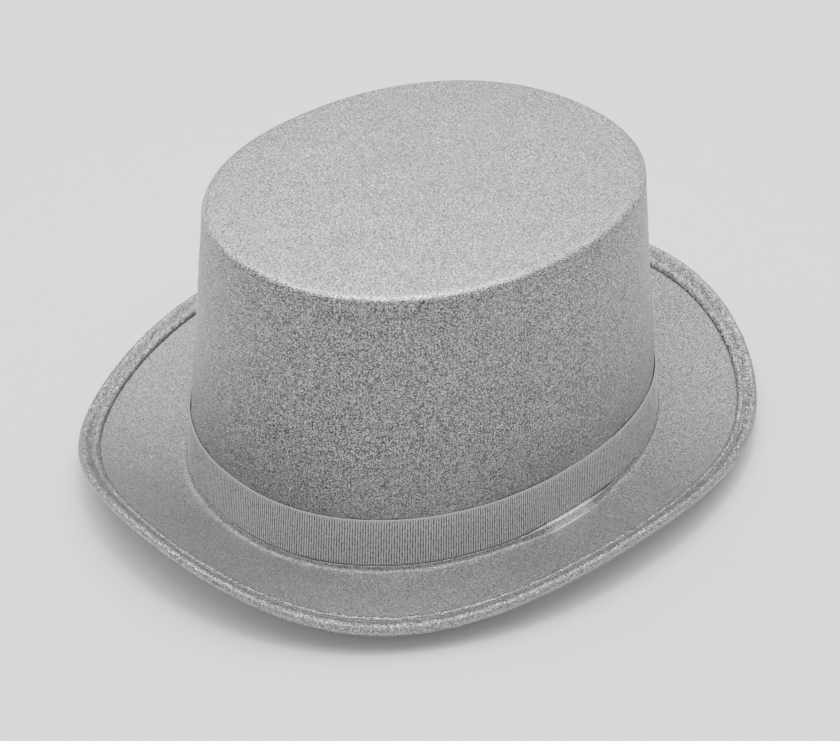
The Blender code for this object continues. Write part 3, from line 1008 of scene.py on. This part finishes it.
class HAT_OT_ribbon_seam(bpy.types.Operator):
    """Sews down the ribbon's lapped end with a column of short stitches"""

    bl_idname = "hat.ribbon_seam"
    bl_label = "Ribbon Seam"

    def execute(self, context):
        climb = np.linspace(0.14, 0.86, SEAM_STITCHES)
        half = 0.035
        reach = RIBBON_GAP + RIBBON_CLOTH + RIBBON + GAP + RIB_HEIGHT + 0.00002
        at = np.full(SEAM_STITCHES, LAP_END - 0.012)
        start = band_place(at, climb - half, reach)
        end = band_place(at + 0.004, climb + half, reach)
        outward = start - np.array([0.0, SET_BACK, 0.0])
        outward[:, 2] = 0
        threads = stitch_row(start, end, outward, STITCH_BOW)
        piece = stitches_piece("ribbon_seam", threads)
        finish_piece(piece, spun_thread("ribbon_thread", colours().ribbon), "band_seam_thread")
        return {"FINISHED"}


class HAT_OT_sweatband(bpy.types.Operator):
    """Sets the sweatband inside the head opening, with its stitches and the stay over its meeting ends"""

    bl_idname = "hat.sweatband"
    bl_label = "Sweatband"

    def execute(self, context):
        theta = np.linspace(math.pi + SWEAT_SLIT, 3 * math.pi - SWEAT_SLIT, 540)
        low, high = SWEAT_LOW.z, SWEAT_HIGH.z
        climb = np.array([0.0, 0.01, 0.03, 0.1, 0.3, 0.6, 0.9, 0.97, 0.99, 1.0])
        rounded = np.interp(0.5 - np.abs(climb - 0.5), [0.0, 0.01, 0.03], [0.3, 0.8, 1.0])
        heights = low + climb * (high - low)
        base = crown_place(theta, 0.0, heights[:, None])
        waves = SWEAT_WAVE * wandering(base, 0.06, 21) * climb[:, None]
        behind = (SWEAT_DEPTH + SWEAT_LEAN * climb**2)[:, None] + waves
        outer = crown_place(theta, behind, heights[:, None])
        inner = crown_place(theta, behind + SWEAT_TAPE * rounded[:, None], heights[:, None])
        piece = strip_piece("sweatband_tape", np.concatenate([inner, outer[::-1][::3]]))
        cloth = twill_tape("sweatband_twill", colours().sweatband)
        finish_piece(piece, cloth, "sweatband")
        length = perimeter(crown_place, SWEAT_DEPTH, low)

        depth = SWEAT_DEPTH + SWEAT_TAPE + 0.6 * THREAD_RADIUS
        count = round(length / SWEAT_STITCH_PITCH)
        middle = (np.arange(count) + 0.5) * TURN / count
        half = 0.33 * TURN / count
        foot = np.full(count, low + SWEAT_STITCH_HEIGHT)
        start = crown_place(middle - half, depth, foot)
        end = crown_place(middle + half, depth, foot)
        inward = np.array([0.0, SET_BACK, 0.0]) - start
        inward[:, 2] = 0
        threads = stitch_row(start, end, inward, STITCH_BOW)
        sewn = stitches_piece("sweatband_stitches", threads)
        thread = spun_thread("sweatband_thread", colours().thread)
        finish_piece(sewn, thread, "sweatband_stitching")

        across = np.linspace(-1, 1, 25)
        theta = math.pi + across * STAY_HALF_WIDTH / sizes().crown_base[0]
        climb = np.linspace(0.22, 0.94, 31)
        heights = low + climb * (high - low)
        near = (SWEAT_DEPTH + SWEAT_TAPE + 0.00025 + SWEAT_LEAN * climb**2)[:, None]
        thickness = 0.0001 + 0.00045 * (1 - across**4)
        face = crown_place(theta, near + thickness, heights[:, None])
        back = crown_place(theta, near, heights[:, None])
        stay = strip_piece("sweatband_stay", np.concatenate([face, back[::-1]]))
        finish_piece(stay, cloth, "sweatband_join_stay")
        return {"FINISHED"}


class HAT_OT_linings(bpy.types.Operator):
    """Hangs the gathered satin inside the crown and the flat satin under its tip"""

    bl_idname = "hat.linings"
    bl_label = "Linings"

    def execute(self, context):
        cloth = satin("lining_satin", colours().lining)
        theta = full_turn(1080)
        low, high = LINING_LOW.z, TIP_LINING_LOW.z - 0.0005
        climb = np.linspace(0, 1, 40)
        heights = low + climb * (high - low)
        wave = GATHERS * theta + 2.2 * np.sin(5 * theta) + 1.4 * np.sin(13 * theta + 1)
        gather = (0.5 + 0.5 * np.sin(wave)) * (0.25 + 0.75 * climb[:, None] ** 2)
        base = crown_place(theta, LINING_DEPTH, heights[:, None])
        slack = GATHER_DEPTH * np.sin(math.pi * climb)[:, None] * (1 + 0.6 * wandering(base, 0.05, 31))
        behind = LINING_DEPTH + GATHER_DEPTH * gather + slack
        inner = crown_place(theta, behind + LINING_CLOTH, heights[:, None])
        outer = crown_place(theta, behind, heights[:, None])
        side = hoop_piece("side_lining_satin", np.concatenate([inner, outer[::-1]]))
        finish_piece(side, cloth, "side_lining")
        length = perimeter(crown_place, LINING_DEPTH, low)

        rim = crown_place(theta, LINING_DEPTH + 0.0006, TIP_LINING_HIGH.z)
        middle = np.array([0.0, SET_BACK, TIP_LINING_HIGH.z])
        share = np.concatenate([np.linspace(1, 0.85, 16), np.linspace(0.85, 0.02, 20)[1:]])[:, None, None]
        upper = middle + share * (rim - middle)
        pucker = 0.0003 * np.sin(wave) * share[..., 0] ** 12
        upper[..., 2] -= TIP_LINING_SAG * (1 - share[..., 0] ** 2) + pucker + 0.0002
        under = upper - [0, 0, LINING_CLOTH]
        disc = cup_piece("tip_lining_satin", np.concatenate([under[::-1], upper]), flat_chart=True)
        finish_piece(disc, cloth, "tip_lining")
        return {"FINISHED"}


class HAT_OT_hidden_parts(bpy.types.Operator):
    """Gives the foundations and the edge's wire their own finishes"""

    bl_idname = "hat.hidden_parts"
    bl_label = "Foundations and Wire"

    def execute(self, context):
        felt = pressed_felt("stiffened_felt", colours().felt)
        wire = covered_wire("covered_edge_wire", (0.45, 0.45, 0.46))
        finishes = {"crown_foundation": felt, "brim_foundation": felt, "brim_edge_wire": wire}
        for node, finish in finishes.items():
            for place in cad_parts[node].material_slots:
                place.material = finish
        return {"FINISHED"}


# Stage

CAMERA_TURN = math.radians(47.94)
CAMERA_RISE = math.radians(35.73)
CAMERA_DISTANCE = 0.8458
CAMERA_LENS = 85.56
AIM_RIGHT = -0.0029
AIM_UP = -0.0232
AIM_HEIGHT = 0.0573
FLOOR_HALF_SIZE = 4.0
FLOOR_TONE = (0.88, 0.88, 0.88)
ROOM_LIGHT = 0.6

# Each light's name, its place to the right of the hat, beyond it and above it, its width and its power.
LIGHTS = (
    ("top_softbox", 0.0, 0.15, 1.3, 1.6, 33),
    ("top_spot", 0.0, -0.15, 1.1, 0.25, 5),
    ("left_softbox", -1.2, 0.5, 0.4, 0.8, 2.5),
    ("right_softbox", 1.2, 0.4, 0.4, 0.8, 1.2),
)


def pointing(location, target):
    """A matrix at a location whose -Z looks at a target, with +Y up."""
    turn = (Vector(target) - Vector(location)).to_track_quat("-Z", "Y")
    return Matrix.Translation(location) @ turn.to_matrix().to_4x4()


def area_light(name, location, target, width, power):
    """A square light that looks at the target."""
    lamp = bpy.data.lights.new(name, "AREA")
    lamp.shape = "RECTANGLE"
    lamp.size = lamp.size_y = width
    lamp.energy = power
    made = bpy.data.objects.new(name, lamp)
    made.matrix_world = pointing(location, target)
    bpy.context.scene.collection.objects.link(made)


class HAT_OT_stage(bpy.types.Operator):
    """Sets the floor, the soft lights and the camera"""

    bl_idname = "hat.stage"
    bl_label = "Stage"

    def execute(self, context):
        half = FLOOR_HALF_SIZE
        low = CAD_BOX[0][2] - 0.0002
        corners = [(-half, -half, low), (half, -half, low), (half, half, low), (-half, half, low)]
        mesh = bpy.data.meshes.new("floor")
        mesh.from_pydata(corners, [], [(0, 1, 2, 3)])
        floor = bpy.data.objects.new("floor", mesh)
        context.scene.collection.objects.link(floor)
        paint = Paint("pale_floor")
        grain = paint.clouds(0.02)
        paint.set(Base_Color=paint.shade(FLOOR_TONE, 1 + 0.02 * (grain - 0.5)), Roughness=0.8)
        mesh.materials.append(paint.material)

        world = bpy.data.worlds.new("studio")
        world.use_nodes = True
        background = world.node_tree.nodes["Background"].inputs
        background["Color"].default_value = (1, 1, 1, 1)
        background["Strength"].default_value = ROOM_LIGHT
        context.scene.world = world

        right = np.array([math.cos(CAMERA_TURN), math.sin(CAMERA_TURN), 0.0])
        back = np.array([
            math.sin(CAMERA_TURN) * math.cos(CAMERA_RISE),
            -math.cos(CAMERA_TURN) * math.cos(CAMERA_RISE),
            math.sin(CAMERA_RISE),
        ])
        up = np.cross(back, right)
        middle = np.array([0.0, SET_BACK, AIM_HEIGHT])
        away = np.array([-math.sin(CAMERA_TURN), math.cos(CAMERA_TURN), 0.0])
        for name, across, beyond, above, width, power in LIGHTS:
            area_light(name, middle + across * right + beyond * away + [0, 0, above], middle, width, power)

        lens = bpy.data.cameras.new("camera")
        lens.lens = CAMERA_LENS
        lens.sensor_width = 36.0
        lens.clip_start = 0.01
        camera = bpy.data.objects.new("camera", lens)
        target = middle + AIM_RIGHT * right + AIM_UP * up
        camera.matrix_world = pointing(target + CAMERA_DISTANCE * back, target)
        context.scene.collection.objects.link(camera)
        context.scene.camera = camera
        return {"FINISHED"}


# Panel and run

STEPS = (
    HAT_OT_stage,
    HAT_OT_crown_cloth,
    HAT_OT_brim_cloths,
    HAT_OT_edge_binding,
    HAT_OT_edge_stitches,
    HAT_OT_ribbon_band,
    HAT_OT_ribbon_seam,
    HAT_OT_sweatband,
    HAT_OT_linings,
    HAT_OT_hidden_parts,
)


class HAT_PT_panel(bpy.types.Panel):
    """The hat's pieces, and the sizes and colours that shape them"""

    bl_idname = "HAT_PT_panel"
    bl_label = "Party Top Hat"
    bl_space_type = "VIEW_3D"
    bl_region_type = "UI"
    bl_category = "Top Hat"

    def draw(self, context):
        column = self.layout.column()
        for group in (context.scene.hat_sizes, context.scene.hat_colours):
            for name in group.bl_rna.properties.keys():
                if name not in ("rna_type", "name"):
                    column.prop(group, name)
        for step in STEPS:
            column.operator(step.bl_idname)


CLASSES = (HatSizes, HatColours, *STEPS, HAT_PT_panel)


def register():
    for cls in CLASSES:
        bpy.utils.register_class(cls)
    bpy.types.Scene.hat_sizes = PointerProperty(type=HatSizes)
    bpy.types.Scene.hat_colours = PointerProperty(type=HatColours)


def unregister():
    del bpy.types.Scene.hat_colours
    del bpy.types.Scene.hat_sizes
    for cls in reversed(CLASSES):
        bpy.utils.unregister_class(cls)


def main():
    register()
    for step in STEPS:
        group, name = step.bl_idname.split(".")
        getattr(getattr(bpy.ops, group), name)()


if __name__ == "__main__":
    main()
